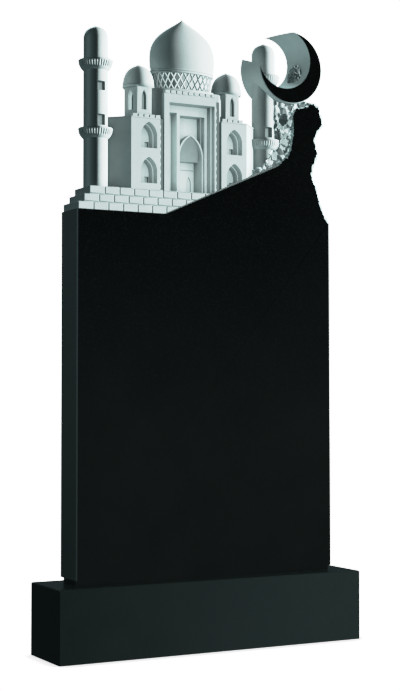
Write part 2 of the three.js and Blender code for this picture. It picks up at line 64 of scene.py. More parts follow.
# The film: linear up to the tone of the lit front, then a soft shoulder up to the white backdrop.
white_light = 2.3
shoulder_tones = ((0.3, 0.3), (0.66, 0.66), (0.9, 0.77), (1.25, 0.845), (1.7, 0.885))
straight_below = 0.2
view = bpy.context.scene.view_settings
view.view_transform = "Standard"
view.use_curve_mapping = True
view.curve_mapping.white_level = (white_light, white_light, white_light)
film_curve = view.curve_mapping.curves[3]
for light, shown in shoulder_tones:
    film_curve.points.new(light / white_light, shown)
for point in film_curve.points:
    point.handle_type = "VECTOR" if point.location[0] < straight_below else "AUTO_CLAMPED"
view.curve_mapping.update()

# Floor and backdrop: both glow white and even, except that the floor's glow is darkened close round
# the plinth, a painted contact shadow. Neither lights the stone nor shows in its polish.
floor_radius = 30
floor_drop = 0.0004
glow_strength = white_light * 1.03
floor_shade, floor_shade_distance = 0.3, 0.045
backdrop_shade, backdrop_shade_distance = 1.0, 0.01
shade_from, shade_to = 0.5, 0.8


class Wire:
    """A socket of a node tree; sums on it add Math nodes, and node() adds any other node."""

    def __init__(self, tree, socket=None):
        self.tree = tree
        self.socket = socket

    def node(self, kind, settings=None, inputs=None, output=0):
        made = self.tree.nodes.new(kind)
        for name, value in (settings or {}).items():
            setattr(made, name, value)
        for name, value in (inputs or {}).items():
            if isinstance(value, Wire):
                self.tree.links.new(value.socket, made.inputs[name])
            else:
                made.inputs[name].default_value = value
        return Wire(self.tree, made.outputs[output] if made.outputs else None)

    def maths(self, operation, *values):
        return self.node("ShaderNodeMath", {"operation": operation}, dict(enumerate(values)))

    def __add__(self, other):
        return self.maths("ADD", self, other)

    def __sub__(self, other):
        return self.maths("SUBTRACT", self, other)

    def __rsub__(self, other):
        return self.maths("SUBTRACT", other, self)

    def __mul__(self, other):
        return self.maths("MULTIPLY", self, other)

    def __lt__(self, other):
        return self.maths("LESS_THAN", self, other)

    __radd__ = __add__
    __rmul__ = __mul__

    def ramp(self, start, end, low_value=0.0, high_value=1.0):
        inputs = {"Value": self, "From Min": start, "From Max": end}
        inputs.update({"To Min": low_value, "To Max": high_value})
        return self.node("ShaderNodeMapRange", {"clamp": True}, inputs)

    def mix(self, colour_a, colour_b):
        inputs = {0: self, 6: colour_a, 7: colour_b}
        return self.node("ShaderNodeMix", {"data_type": "RGBA"}, inputs, output=2)

    def noise(self, place, scale, detail, **others):
        inputs = {"Vector": place, "Scale": scale, "Detail": detail, **others}
        return self.node("ShaderNodeTexNoise", inputs=inputs)

    def cells(self, place, scale):
        """A value from 0 to 1 that is even over each crystal of the stone."""
        inputs = {"Vector": place, "Scale": scale}
        coloured = self.node("ShaderNodeTexVoronoi", {"feature": "F1"}, inputs, output=1)
        return self.node("ShaderNodeSeparateColor", inputs={0: coloured})

    def openness(self, distance, samples):
        settings, inputs = {"samples": samples}, {"Distance": distance}
        return self.node("ShaderNodeAmbientOcclusion", settings, inputs, output=1)


def start_material(name):
    material = bpy.data.materials.new(name)
    material.use_nodes = True
    tree = material.node_tree
    tree.nodes.clear()
    return material, Wire(tree)


def glowing(name, shaded_glow, shade_distance):
    material, wire = start_material(name)
    # Painted shade: the glow darkens where nearby geometry hems the surface in.
    lit = wire.openness(shade_distance, 16).ramp(shade_from, shade_to, shaded_glow, 1.0)
    colour = lit.mix((0.0, 0.0, 0.0, 1), (1, 1, 1, 1))
    glow = wire.node("ShaderNodeEmission", inputs={"Color": colour, "Strength": glow_strength})
    wire.node("ShaderNodeOutputMaterial", inputs={"Surface": glow})
    return material


def stage_piece(obj, name, material):
    obj.name = name
    obj.data.materials.append(material)
    for ray in ("diffuse", "glossy", "transmission", "volume_scatter", "shadow"):
        setattr(obj, "visible_" + ray, False)


floor_place = (0, 0, -floor_drop)
bpy.ops.mesh.primitive_circle_add(vertices=96, radius=floor_radius, fill_type="NGON", location=floor_place)
stage_piece(bpy.context.object, "floor", glowing("white_floor", floor_shade, floor_shade_distance))
bpy.ops.mesh.primitive_uv_sphere_add(segments=48, ring_count=24, radius=floor_radius)
white_backdrop = glowing("white_backdrop", backdrop_shade, backdrop_shade_distance)
stage_piece(bpy.context.object, "backdrop", white_backdrop)

# Studio light: a broad key from the right that throws no shadow, a cold fill from the left, a
# bounce from the floor, weak light from behind, and a dim room all round.
cool = (0.7, 1.0, 1.03)
daylight = (0.87, 1.0, 0.995)
room_light = 0.03
world = bpy.data.worlds.new("room")
world.use_nodes = True
world.node_tree.nodes["Background"].inputs["Color"].default_value = (*cool, 1)
world.node_tree.nodes["Background"].inputs["Strength"].default_value = room_light
bpy.context.scene.world = world


def sun(name, azimuth, elevation, strength, softness, colour, shadow=True):
    lamp = bpy.data.lights.new(name, "SUN")
    lamp.energy = strength
    lamp.color = colour
    lamp.angle = math.radians(softness)
    lamp.use_shadow = shadow
    obj = bpy.data.objects.new(name, lamp)
    obj.rotation_euler = (math.radians(90 - elevation), 0, math.radians(azimuth))
    bpy.context.collection.objects.link(obj)


sun("key", azimuth=71, elevation=6, strength=18.4, softness=8, colour=daylight, shadow=False)
sun("fill", azimuth=-92, elevation=8, strength=1.05, softness=50, colour=cool)
sun("soft_fill", azimuth=-92, elevation=8, strength=0.25, softness=20, colour=cool, shadow=False)
sun("bounce", azimuth=0, elevation=-88, strength=1.2, softness=8, colour=cool, shadow=False)
sun("behind", azimuth=172, elevation=34, strength=2.6, softness=30, colour=cool)


# Plinth: a low sawn block of granite, near black with a cold cast and fine grey grains, buffed to a
# hard gloss, with its arrises just broken. The stone stands on it by its own weight.
def polished(name, colour, grain_colour, roughness, axis, painted_light_from, painted_light_at, painted_light_factor, painted_shade_below=None):
    """Polish with a painted light gradient along one axis, scaled by the given factor, and painted shade past
    the optional end.
    """
    grain_scale, cloud_scale, smear_scale = 520.0, 9.0, 2.5
    cloud_share, grain_share = 0.5, 0.5
    cloud_colour = [value * 1.5 for value in colour]
    painted_light_colour = [value * painted_light_factor for value in colour]
    painted_shade_end_colour = [value * 0.3 for value in colour]
    smoother, rougher = roughness * 0.85, roughness * 1.25
    material, wire = start_material(name)
    place = wire.node("ShaderNodeTexCoord", output=3)
    along = wire.node("ShaderNodeSeparateXYZ", inputs={0: place}, output=axis)
    fleck = wire.cells(place, grain_scale).ramp(0.78, 0.98)
    cloud = wire.noise(place, cloud_scale, 4.0).ramp(0.35, 0.7)
    smear = wire.noise(place, smear_scale, 3.0)
    base = (cloud * cloud_share).mix((*colour, 1), (*cloud_colour, 1))
    # Painted light: the polish changes tone along the axis by the given factor.
    base = along.ramp(painted_light_from * mm, painted_light_at * mm).mix(base, (*painted_light_colour, 1))
    base = (fleck * grain_share).mix(base, (*grain_colour, 1))
    # Painted shade: much darker below the optional end along the axis.
    if painted_shade_below is not None:
        base = (along < painted_shade_below * mm).mix(base, (*painted_shade_end_colour, 1))
    inputs = {"Base Color": base, "Roughness": smear.ramp(0.3, 0.75, smoother, rougher), "IOR": 1.5}
    shader = wire.node("ShaderNodeBsdfPrincipled", inputs=inputs)
    wire.node("ShaderNodeOutputMaterial", inputs={"Surface": shader})
    return material


# Painted light and shade: the plinth's polish is painted lighter towards the right and much darker on its
# left end.
plinth_granite = polished(
    "plinth_granite",
    colour=(0.0042, 0.0058, 0.0056),
    grain_colour=(0.007, 0.009, 0.009),
    roughness=0.12,
    axis=0,
    painted_light_from=-320,
    painted_light_at=250,
    painted_light_factor=2.2,
    painted_shade_below=-349,
)
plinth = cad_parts["plinth"]
plinth.data.materials.clear()
plinth.data.materials.append(plinth_granite)

# Slab: the upright slab on its low bed, the polished field that climbs to the right above it, and
# the ragged pillar that the field ends in. All one stone, sawn to thickness: the front is polished,
# the sides and back are left sawn, and the pillar's edge is hewn with a chisel.
low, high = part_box("stele")
left, right = low[0] / mm, high[0] / mm
front, back = low[1] / mm, high[1] / mm
foot, top = low[2] / mm, high[2] / mm
slab_height = 753
course_height = 16
course_count = 3
shoulder = foot + slab_height
ground = shoulder + course_count * course_height
axis_x = left + 255.5
field_start = 60
field_slope = 0.444
pillar_foot = right - 135
pillar_neck = right - 102
pillar_height = 260
slope_end = shoulder + (pillar_foot - (axis_x - field_start)) * field_slope
arris = 2
bed_height = 11
bed_front_inset = 10
bed_side_inset = 2
slope_chamfer = 3.2
chamfer_depth = 2.0
rock_step = 2.0
depth_step = 2.4
lap = 1


def solid(points, faces):
    """A closed mesh from points in millimetres, in the frame of the stone."""
    made = bpy.data.meshes.new("solid")
    made.from_pydata([tuple(value * mm for value in point) for point in points], [], faces)
    bm = bmesh.new()
    bm.from_mesh(made)
    bmesh.ops.recalc_face_normals(bm, faces=bm.faces)
    bm.to_mesh(made)
    bm.free()
    return made


def drawn_out(near_end, far_end):
    """The solid between two like outlines of points."""
    count = len(near_end)
    faces = [tuple(range(count)), tuple(range(2 * count - 1, count - 1, -1))]
    faces += [(i, (i + 1) % count, count + (i + 1) % count, count + i) for i in range(count)]
    return solid(near_end + far_end, faces)


def prism(outline, y0, y1):
    return drawn_out([(x, y0, z) for x, z in outline], [(x, y1, z) for x, z in outline])


def block(x0, x1, y0, y1, z0, z1, soften=0.0):
    made = prism([(x0, z0), (x1, z0), (x1, z1), (x0, z1)], y0, y1)
    if soften:
        offset = soften * mm
        bm = bmesh.new()
        bm.from_mesh(made)
        bmesh.ops.bevel(bm, geom=bm.edges[:], offset=offset, segments=2, profile=0.5, affect="EDGES")
        bm.to_mesh(made)
        bm.free()
    return made


def piece(name, made, materials, choose=None, sharp=32):
    """A finished piece of the stone; choose gives each face's material from its middle and normal."""
    obj = bpy.data.objects.new(name, made)
    made.name = name
    bpy.context.collection.objects.link(obj)
    made.materials.clear()
    for material in materials:
        made.materials.append(material)
    made.shade_smooth()
    made.set_sharp_from_angle(angle=math.radians(sharp))
    if choose is not None:
        for face in made.polygons:
            face.material_index = choose(face.center / mm, face.normal)
    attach(obj, "root")
    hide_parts("stele")


def milled(name, pale, shaded, painted_shade_left_of=None):
    """Cut and blasted granite, pale and cool, with the salt and pepper of its crystals, and painted
    shade darkening its hollows and creases."""
    crystal_scale, cloud_scale, stain_scale, fine_scale = 700.0, 26.0, 7.0, 900.0
    hollow_reach = 0.03
    hollow_painted_shade_colour = (0.07, 0.085, 0.085, 1)
    outer_painted_shade_colour = (0.1, 0.112, 0.11, 1)
    dark_side_smoother = 0.25
    material, wire = start_material(name)
    place = wire.node("ShaderNodeTexCoord", output=3)
    crystal = wire.cells(place, crystal_scale)
    cloud = wire.noise(place, cloud_scale, 6.0, Roughness=0.6)
    stain = wire.noise(place, stain_scale, 3.0)
    fine = wire.noise(place, fine_scale, 2.0)
    tone = crystal.ramp(0.0, 0.3, 0.3, 0.0) + cloud.ramp(0.35, 0.7, 0.0, 0.3) + stain.ramp(0.4, 0.7, 0.0, 0.2)
    base = tone.mix((*pale, 1), (*shaded, 1))
    # Painted shade: darker where nearby stone hems the surface in.
    base = wire.openness(hollow_reach, 8).ramp(0.15, 0.85, 0.9, 0.0).mix(base, hollow_painted_shade_colour)
    roughness = fine.ramp(0.3, 0.7, 0.62, 0.85)
    # Painted shade: left of the given x the granite is painted dark, and it is also made smoother.
    if painted_shade_left_of is not None:
        dark = wire.node("ShaderNodeSeparateXYZ", inputs={0: place}) < painted_shade_left_of * mm
        base = dark.mix(base, outer_painted_shade_colour)
        roughness = roughness - dark * dark_side_smoother
    height = fine * 0.6 + crystal * 0.4
    bump = wire.node("ShaderNodeBump", inputs={"Strength": 0.25, "Distance": 0.0004, "Height": height})
    inputs = {"Base Color": base, "Roughness": roughness, "Normal": bump, "Specular IOR Level": 0.3}
    shader = wire.node("ShaderNodeBsdfPrincipled", inputs=inputs)
    wire.node("ShaderNodeOutputMaterial", inputs={"Surface": shader})
    return material


def hewn(name, dark, grey, chip, chip_from):
    """Granite as it breaks under the chisel, grey with bright chipped crystals."""
    chip_scale, cloud_scale, broad_scale = 105.0, 60.0, 28.0
    material, wire = start_material(name)
    place = wire.node("ShaderNodeTexCoord", output=3)
    chipped = wire.cells(place, chip_scale)
    cloud = wire.noise(place, cloud_scale, 6.0)
    broad = wire.noise(place, broad_scale, 3.0)
    bright = chipped.ramp(chip_from, chip_from + 0.15) * broad.ramp(0.4, 0.6)
    base = cloud.ramp(0.35, 0.65).mix((*dark, 1), (*grey, 1))
    base = bright.mix(base, (*chip, 1))
    height = cloud + chipped * 0.5
    bump = wire.node("ShaderNodeBump", inputs={"Strength": 0.5, "Distance": 0.002, "Height": height})
    inputs = {"Base Color": base, "Roughness": cloud.ramp(0.3, 0.7, 0.7, 0.95), "Normal": bump}
    shader = wire.node("ShaderNodeBsdfPrincipled", inputs=inputs)
    wire.node("ShaderNodeOutputMaterial", inputs={"Surface": shader})
    return material


# Painted shade: the polished black is painted darker from partway up the slab towards the top, and the
# crescent's front with it.
polished_black = polished(
    "polished_black_granite",
    colour=(0.0024, 0.0028, 0.0027),
    grain_colour=(0.004, 0.0045, 0.0045),
    roughness=0.1,
    axis=2,
    painted_light_from=450,
    painted_light_at=950,
    painted_light_factor=0.15,
)
# Painted light: the sawn flanks are painted lighter towards the top.
sawn_dark = polished(
    "honed_dark_granite",
    colour=(0.012, 0.0135, 0.013),
    grain_colour=(0.025, 0.028, 0.028),
    roughness=0.35,
    axis=2,
    painted_light_from=200,
    painted_light_at=850,
    painted_light_factor=2.0,
)
pale_granite = (0.345, 0.367, 0.362)
shaded_granite = (0.24, 0.26, 0.258)
milled_granite = milled("milled_granite", pale_granite, shaded_granite)
hewn_rock = hewn(
    "hewn_rock",
    dark=(0.11, 0.13, 0.13),
    grey=(0.25, 0.27, 0.27),
    chip=(0.55, 0.6, 0.6),
    chip_from=0.68,
)
chipped_edge = hewn(
    "chipped_edge",
    dark=(0.2, 0.25, 0.25),
    grey=(0.34, 0.4, 0.4),
    chip=(0.6, 0.66, 0.66),
    chip_from=0.5,
)


def facets(points, spacing, level, tilt, seed):
    """How far in the chisel left each point: flat facets at mixed levels and slopes."""
    points = np.asarray(points, float)
    rng = np.random.default_rng(seed)
    lowest, highest = points.min(0) - spacing, points.max(0) + spacing
    count = int(np.prod((highest - lowest) / spacing)) + 4
    centres = lowest + rng.random((count, points.shape[1])) * (highest - lowest)
    levels = rng.random(count) * level
    tilts = rng.normal(0, tilt, (count, points.shape[1]))
    depths = np.empty(len(points))
    batch = 2000
    for start in range(0, len(points), batch):
        part = points[start:start + batch]
        away = ((part[:, None, :] - centres[None]) ** 2).sum(2)
        nearest = away.argmin(1)
        slant = ((part - centres[nearest]) * tilts[nearest]).sum(1)
        depths[start:start + batch] = levels[nearest] + slant
    return np.clip(depths, 0, level * 1.6)


def dense(points, step):
    """The same line with points about every step along it."""
    line = [points[0]]
    for start, end in zip(points, points[1:]):
        count = max(1, round(math.dist(start, end) / step))
        begin, way = np.asarray(start), np.asarray(end) - np.asarray(start)
        line += [tuple(begin + way * k / count) for k in range(1, count + 1)]
    return line


def up_pillar(share):
    return shoulder + share * pillar_height


flank = [
    (pillar_foot, slope_end),
    (pillar_foot + 10, slope_end + 8),
    (pillar_neck - 8, up_pillar(0.54)),
    (pillar_neck, up_pillar(0.59)),
    (pillar_neck + 7, up_pillar(0.76)),
    (pillar_neck + 4, up_pillar(0.88)),
    (pillar_neck + 14, up_pillar(0.95)),
    (pillar_neck + 36, up_pillar(0.965)),
    (pillar_neck + 52, up_pillar(1.0)),
    (pillar_neck + 62, up_pillar(1.005)),
]
rim = [
    (right - 26, up_pillar(0.98)),
    (right - 19, up_pillar(0.89)),
    (right - 16, up_pillar(0.82)),
    (right - 29, up_pillar(0.77)),
    (right - 37, up_pillar(0.69)),
    (right - 28, up_pillar(0.58)),
    (right - 43, up_pillar(0.45)),
    (right - 42, up_pillar(0.37)),
    (right - 31, up_pillar(0.28)),
    (right - 23, up_pillar(0.16)),
    (right - 10, up_pillar(0.05)),
    (right, shoulder + 1),
]
rim_reach = 48
rim_chamfer_in, rock_chamfer_in = 3.2, 1.0
slab_foot = foot + bed_height
slope_foot = (axis_x - field_start, shoulder)
rock_line = dense([*flank, *rim], rock_step)
outline = [(right, slab_foot), (left, slab_foot), (left, shoulder), slope_foot, *rock_line]
slope_top = 4
count = len(outline)
place = np.array(outline)
ahead, behind = np.roll(place, -1, 0), np.roll(place, 1, 0)
along = (ahead - behind) / np.linalg.norm(ahead - behind, axis=1)[:, None]
inward = np.stack([along[:, 1], -along[:, 0]], 1)
run = np.concatenate([[0], np.cumsum(np.linalg.norm(np.diff(place, axis=0), axis=1))])
is_rock = np.arange(count) > slope_top
past_flank = run > run[slope_top + len(dense(flank, rock_step)) - 1]
on_rim = is_rock & (place[:, 0] > right - rim_reach) & past_flank
front_inset = np.where(on_rim, rim_chamfer_in, np.where(is_rock, rock_chamfer_in, 0.0))
front_chips = facets(np.stack([run, run * 0], 1), spacing=5, level=2.6, tilt=0.2, seed=4)
front_inset = front_inset + np.where(is_rock, front_chips, 0)
behind_chamfer = front + chamfer_depth
depth_rows = int((back - front) / depth_step)
depths = [front, behind_chamfer, *np.linspace(behind_chamfer + depth_step, back, depth_rows)]
rows = []
for row, y in enumerate(depths):
    chips = facets(np.stack([run, np.full(count, y)], 1), spacing=13, level=6.5, tilt=0.35, seed=7)
    inset = np.where(is_rock, chips * min(1.0, row / 3), 0)
    if row == 0:
        inset = front_inset
    edge = place + inward * inset[:, None]
    if row == 0:
        edge[2, 0] += arris
        edge[1, 0] += arris
        edge[0, 0] -= arris
        edge[slope_top - 1] += (slope_chamfer * 0.9, -slope_chamfer * 0.15)
        edge[slope_top] += (slope_chamfer * 0.35, -slope_chamfer)
    rows.append([(x, y, z) for x, z in edge])
points = [point for row in rows for point in row]
faces = [tuple(range(count)), tuple(range(len(points) - 1, len(points) - count - 1, -1))]
for row in range(len(rows) - 1):
    for i in range(count):
        j = (i + 1) % count
        a = row * count
        faces.append((a + i, a + j, a + count + j, a + count + i))


def slab_finish(middle, normal):
    if normal.y < -0.99 and middle.y < front + 0.01:
        return 0
    if normal.y > 0.99 and middle.y > back - 1:
        return 2
    if middle.z < shoulder - 4:
        return 1
    if middle.x < pillar_foot + 1 and middle.z < slope_end + 2:
        return 2
    if middle.y < behind_chamfer + 0.1:
        return 4
    return 3


slab_materials = [polished_black, sawn_dark, milled_granite, hewn_rock, chipped_edge]
piece("slab", solid(points, faces), slab_materials, slab_finish, sharp=12)
bed_across = (left + bed_side_inset, right - bed_side_inset)
bed_deep = (front + bed_front_inset, back - bed_front_inset)
bed = block(*bed_across, *bed_deep, foot, slab_foot + lap / 2)
piece("slab_bed", bed, [polished_black])

# Courses: three rows of small bricks stepped in at the left, milled in the face of the stone with
# open joints. Their left-facing outer ends are painted dark, as painted shade.
face = front + 2
first_step_in = 4
step_in = 12.4
brick_length = 32.8
first_brick = 34
joint = 2.2
joint_depth = 2.6
brick_depth = 14
brick_softness = 0.7
core_set_back = 0.8
under_field = 12


def together(*meshes):
    """Several solids that stay apart, in one mesh."""
    bm = bmesh.new()
    for made in meshes:
        bm.from_mesh(made)
    joined = bpy.data.meshes.new("together")
    bm.to_mesh(joined)
    bm.free()
    return joined


def carved(base, joins=(), cuts=(), meets=()):
    """The base with the joins added, then the cuts taken away, then only what the meets hold of it."""
    work = bpy.data.objects.new("work", base)
    bpy.context.collection.objects.link(work)
    tools = []
    steps = [("UNION", made) for made in joins] + [("DIFFERENCE", made) for made in cuts]
    for operation, made in steps + [("INTERSECT", made) for made in meets]:
        tool = bpy.data.objects.new("tool", made)
        bpy.context.collection.objects.link(tool)
        tools.append(tool)
        step = work.modifiers.new("step", "BOOLEAN")
        step.solver = "MANIFOLD"
        step.operation = operation
        step.object = tool
    depsgraph = bpy.context.evaluated_depsgraph_get()
    done = bpy.data.meshes.new_from_object(work.evaluated_get(depsgraph))
    for obj in [work, *tools]:
        bpy.data.objects.remove(obj)
    return done


course_lefts = [left + first_step_in + course * step_in for course in range(course_count)]
bricks, cores = [], []
for course, x_start in enumerate(course_lefts):
    z0 = shoulder + course * course_height
    z1 = z0 + course_height
    lower = z0 + (joint / 2 if course else -lap)
    upper = z1 - (joint / 2 if course < course_count - 1 else 0)
    x_end = axis_x - field_start + (z1 - shoulder) / field_slope + under_field
    core_foot = z0 - (3 if course else lap)
    core_deep = (face + joint_depth, back - 0.5)
    cores.append(block(x_start + core_set_back, x_end, *core_deep, core_foot, z1 - 0.6))
    x = x_start
    length = first_brick
    while x < x_end - joint:
        x1 = min(x + length, x_end)
        brick_back = back if x == x_start else face + brick_depth
        brick = block(x, x1 - joint, face, brick_back, lower, upper, soften=brick_softness)
        bricks.append(brick)
        x += length
        length = brick_length
courses = carved(cores[0], joins=[cores[1], cores[2], together(*bricks)])


def course_finish(middle, normal):
    at_left_end = middle.x < course_lefts[-1] + 4 and middle.y > face + 1.2
    return 1 if at_left_end and normal.x < -0.7 else 0


# Painted shade: a dark copy of the granite for the left-facing ends.
ends_painted_shade = milled("ends_painted_shade_granite", (0.085, 0.095, 0.094), (0.06, 0.07, 0.07))
piece("courses", courses, [milled_granite, ends_painted_shade], course_finish, sharp=20)

# Mosque walls: two wings with niches over each other and a tall portal between them, milled out of
# the slab's thickness, with nested recesses round a pointed door, beaded ropes in the slots at the
# portal's corners, and small square merlons along the tops.
wing_outer = 135.5
wing_chamfer = 48
wing_inners = {-1: 69.1, 1: 74.5}
wing_tops = {-1: ground + 148.2, 1: ground + 154.2}
wall_back = back - 0.3
portal_left, portal_right = axis_x - 60.2, axis_x + 61.8
portal_top = ground + 203.2
merlon_height = 6
merlon_pitch = 13
merlon_gap = 2.2
merlon_depth = 9
merlon_softness = 0.6
cornice = 1.6
niche_width, niche_spring, niche_height = 37, 25, 54
niche_step, niche_rim = 17, 2.4
niche_depth = 35
niche_x = {-1: axis_x - 95, 1: axis_x + 106}
niche_sill = 13
niche_pitch = 72.5
slit_width, slit_height, slit_offset = 9, 18, 11
slit_front, slit_depth = face + 20, 8
before_front = front - 2


def column(outline, z0, z1):
    return drawn_out([(x, y, z0) for x, y in outline], [(x, y, z1) for x, y in outline])


def turned(x, y, profile, sides, depth_share=1.0, relief=None):
    """A form turned on an upright axis through x and y, from rows of radius and height."""
    angles = np.arange(sides) * 2 * math.pi / sides
    points = [(x, y, profile[0][1])]
    for radius, z in profile:
        r = np.full(sides, float(radius))
        if relief is not None:
            r = r + relief(angles, radius, z)
        across, deep = x + r * np.cos(angles), y + r * np.sin(angles) * depth_share
        ring = np.stack([across, deep, np.full(sides, float(z))], 1)
        points += [tuple(point) for point in ring]
    points.append((x, y, profile[-1][1]))
    rows = len(profile)
    faces = []
    for i in range(sides):
        j = (i + 1) % sides
        faces.append((0, 1 + j, 1 + i))
        for row in range(rows - 1):
            a = 1 + row * sides
            faces.append((a + i, a + j, a + sides + j, a + sides + i))
        last = 1 + (rows - 1) * sides
        faces.append((last + i, last + j, len(points) - 1))
    return solid(points, faces)


def pointed(x, sill, width, spring, apex, steps=12):
    """The outline of a pointed arch, from its sill round by its apex."""
    half = width / 2
    rise = apex - spring
    radius = (half * half + rise * rise) / (2 * half)
    sweep = math.atan2(rise, radius - half)
    outline = [(x - half, sill), (x + half, sill)]
    for k in range(steps + 1):
        angle = sweep * k / steps
        reach = half - radius + radius * math.cos(angle)
        outline.append((x + reach, sill + spring + radius * math.sin(angle)))
    for k in range(steps - 1, -1, -1):
        angle = sweep * k / steps
        reach = half - radius + radius * math.cos(angle)
        outline.append((x - reach, sill + spring + radius * math.sin(angle)))
    return outline


def merlon(x0, x1, wall_top):
    deep = (face - cornice, face + merlon_depth)
    return block(x0, x1, *deep, wall_top - lap, wall_top + merlon_height, soften=merlon_softness)


wall_solids, wall_cuts, merlons = [], [], []
for side in (-1, 1):
    inner, outer = axis_x + side * wing_inners[side], axis_x + side * wing_outer
    far = outer + side * wing_chamfer
    wall_top = wing_tops[side]
    cornice_foot = wall_top - cornice
    for proud, z0, z1 in ((0, ground - lap, cornice_foot), (cornice, cornice_foot, wall_top)):
        y = face - proud
        plan = [(inner, y), (inner, wall_back), (far, wall_back), (far, y + wing_chamfer), (outer, y)]
        wall_solids.append(column(plan, z0 - lap / 2, z1))
    narrow_width, narrow_height = niche_width - 2 * niche_rim, niche_height - 1.4 * niche_rim
    for level in range(2):
        sill = ground + niche_sill + level * niche_pitch
        wide = pointed(niche_x[side], sill, niche_width, niche_spring, niche_height)
        narrow = pointed(niche_x[side], sill, narrow_width, niche_spring, narrow_height)
        wall_cuts.append(prism(wide, before_front, face + niche_step))
        wall_cuts.append(prism(narrow, before_front, face + niche_depth))
        slit_left = niche_x[side] + slit_offset - slit_width / 2
        slit_deep = (slit_front, face + niche_depth + slit_depth)
        slit = block(slit_left, slit_left + slit_width, *slit_deep, sill, sill + slit_height)
        wall_cuts.append(slit)
    for i in range(int((wing_outer - wing_inners[side]) / merlon_pitch)):
        gaps = (merlon_gap / 2, merlon_pitch - merlon_gap / 2)
        ends = [inner + side * (i * merlon_pitch + gap) for gap in gaps]
        merlons.append(merlon(min(ends), max(ends), wall_top))
slot_back = face + 22
slot_top = portal_top - 6
slots = (axis_x - wing_inners[-1] - lap, axis_x + wing_inners[1] + lap)
wall_solids.append(block(portal_left, portal_right, face, wall_back, ground - 1.5, portal_top))
wall_solids.append(block(*slots, slot_back, wall_back - 0.2, ground - lap, slot_top))
portal_merlons = round((portal_right - portal_left) / merlon_pitch)
pitch = (portal_right - portal_left) / portal_merlons
for i in range(portal_merlons):
    x0 = portal_left + i * pitch + merlon_gap / 2
    merlons.append(merlon(x0, x0 + pitch - merlon_gap, portal_top))

# The portal's recesses: an outer one, a mullion and an inner one, whose right reveals are splayed.
outer_back = face + 27.5
inner_back = outer_back + 28.5
outer_left, outer_right, outer_top = axis_x - 48.2, axis_x + 58, ground + 184
inner_right, inner_top = axis_x + 48.5, ground + 164.5
mullion_left, mullion_right = axis_x - 17, axis_x - 10.2
side_slot_left, side_slot_top = axis_x - 46, ground + 169
splay = 3.2
outer_splay_depth, inner_splay_depth = 13, 14
before_face = face - 6
outer_recess = (outer_left, outer_right - splay, before_face, outer_back, ground, outer_top)
outer_splay_deep = (before_face, face + outer_splay_depth)
outer_splay = (outer_left + 0.1, outer_right, *outer_splay_deep, ground, outer_top + 0.1)
side_slot = (side_slot_left, mullion_left, outer_back - 1, inner_back, ground, side_slot_top)
inner_recess = (mullion_right, inner_right - splay, outer_back - 1, inner_back, ground, inner_top)
inner_splay_deep = (outer_back - 1.1, outer_back + inner_splay_depth)
inner_splay = (mullion_right + 0.1, inner_right, *inner_splay_deep, ground, inner_top - 0.1)
for recess in (outer_recess, outer_splay, side_slot, inner_recess, inner_splay):
    wall_cuts.append(block(*recess))

# The beaded ropes: strings of long beads that stand in the slots on both sides of the portal.
bead_pitch = 15.4
bead_gap = 0.15
bead_radius = 4.6
bead_fullness = 0.7
bead_rows = 12
bead_y = face + 4.9
rope_x = {-1: axis_x - wing_inners[-1] - 1.6, 1: portal_right - 1.6}
rope_tops = {-1: wing_tops[-1], 1: portal_top - 8}
rope_deep = (face + 6.5, slot_back + lap)
beads = []
for side in (-1, 1):
    z = ground + bead_pitch / 2
    while z < rope_tops[side] - bead_pitch / 2:
        half = bead_pitch / 2 - bead_gap
        profile = [(0.0, z - half)]
        for k in range(1, bead_rows):
            angle = -math.pi / 2 + math.pi * k / bead_rows
            swell = bead_radius * math.cos(angle) ** bead_fullness
            profile.append((swell, z + half * math.sin(angle)))
        profile.append((0.0, z + half))
        beads.append(turned(rope_x[side], bead_y, profile, 20))
        z += bead_pitch
left_core = (axis_x - wing_inners[-1] + 0.2, portal_left + 1)
right_core = (portal_right - 1, axis_x + wing_inners[1] - 2)
rope_cores = [
    block(*left_core, *rope_deep, ground - lap, rope_tops[-1]),
    block(*right_core, *rope_deep, ground - lap, rope_tops[1]),
]

# The door: a pointed frame with a thin rim, under whose hood the stone curves in to the lintel over
# the doorway; a small panel line and niche are cut in its back.
door_x = (mullion_right + inner_right) / 2
door_width = inner_right - mullion_right
door_height, door_spring, door_rim = 127, 80, 3.2
door_clear = door_width - 2 * door_rim
door_left = door_x - door_clear / 2
door_right = door_left + door_clear
door_face = outer_back + 6
hood_back = door_face + 19
door_back = hood_back + 18
lintel = ground + 72
apex = ground + door_height
small_niche_x, small_niche_width, small_niche_spring, small_niche_height = door_left + 40, 10, 29, 43
panel_left, panel_right = door_left + 20, door_right - 2
panel_foot, panel_top = ground + 55, ground + 57.5
frame_outline = pointed(door_x, ground - lap, door_width + 0.4, door_spring + 1, door_height + 1)
door_opening = pointed(door_x, ground, door_clear, door_spring, door_height - door_rim)
frame_solid = prism(frame_outline, door_face, inner_back + lap)
hood_steps = 10
hood_curve = []
for k in range(hood_steps + 1):
    share = k / hood_steps
    y = door_face + (hood_back - door_face) * math.sin(share * math.pi / 2)
    hood_curve.append((y, apex + (lintel - apex) * share))
hood_outline = [(hood_back + 1, apex + 2), (door_face, apex + 2), *hood_curve, (hood_back + 1, lintel)]
hood_ends = [[(x, y, z) for y, z in hood_outline] for x in (mullion_right - 1, inner_right + 1)]
door_cut = carved(prism(door_opening, door_face - 1, hood_back), cuts=[drawn_out(*hood_ends)])
doorway = block(door_left, door_right, hood_back - 1, door_back, ground, lintel)
small_arch = (small_niche_width, small_niche_spring, small_niche_height)
small_niche = prism(pointed(small_niche_x, ground, *small_arch, 6), door_back - 1, door_back + 3)
panel_line = block(panel_left, panel_right, door_back - 0.5, door_back + 2, panel_foot, panel_top)
door = carved(frame_solid, cuts=[door_cut])

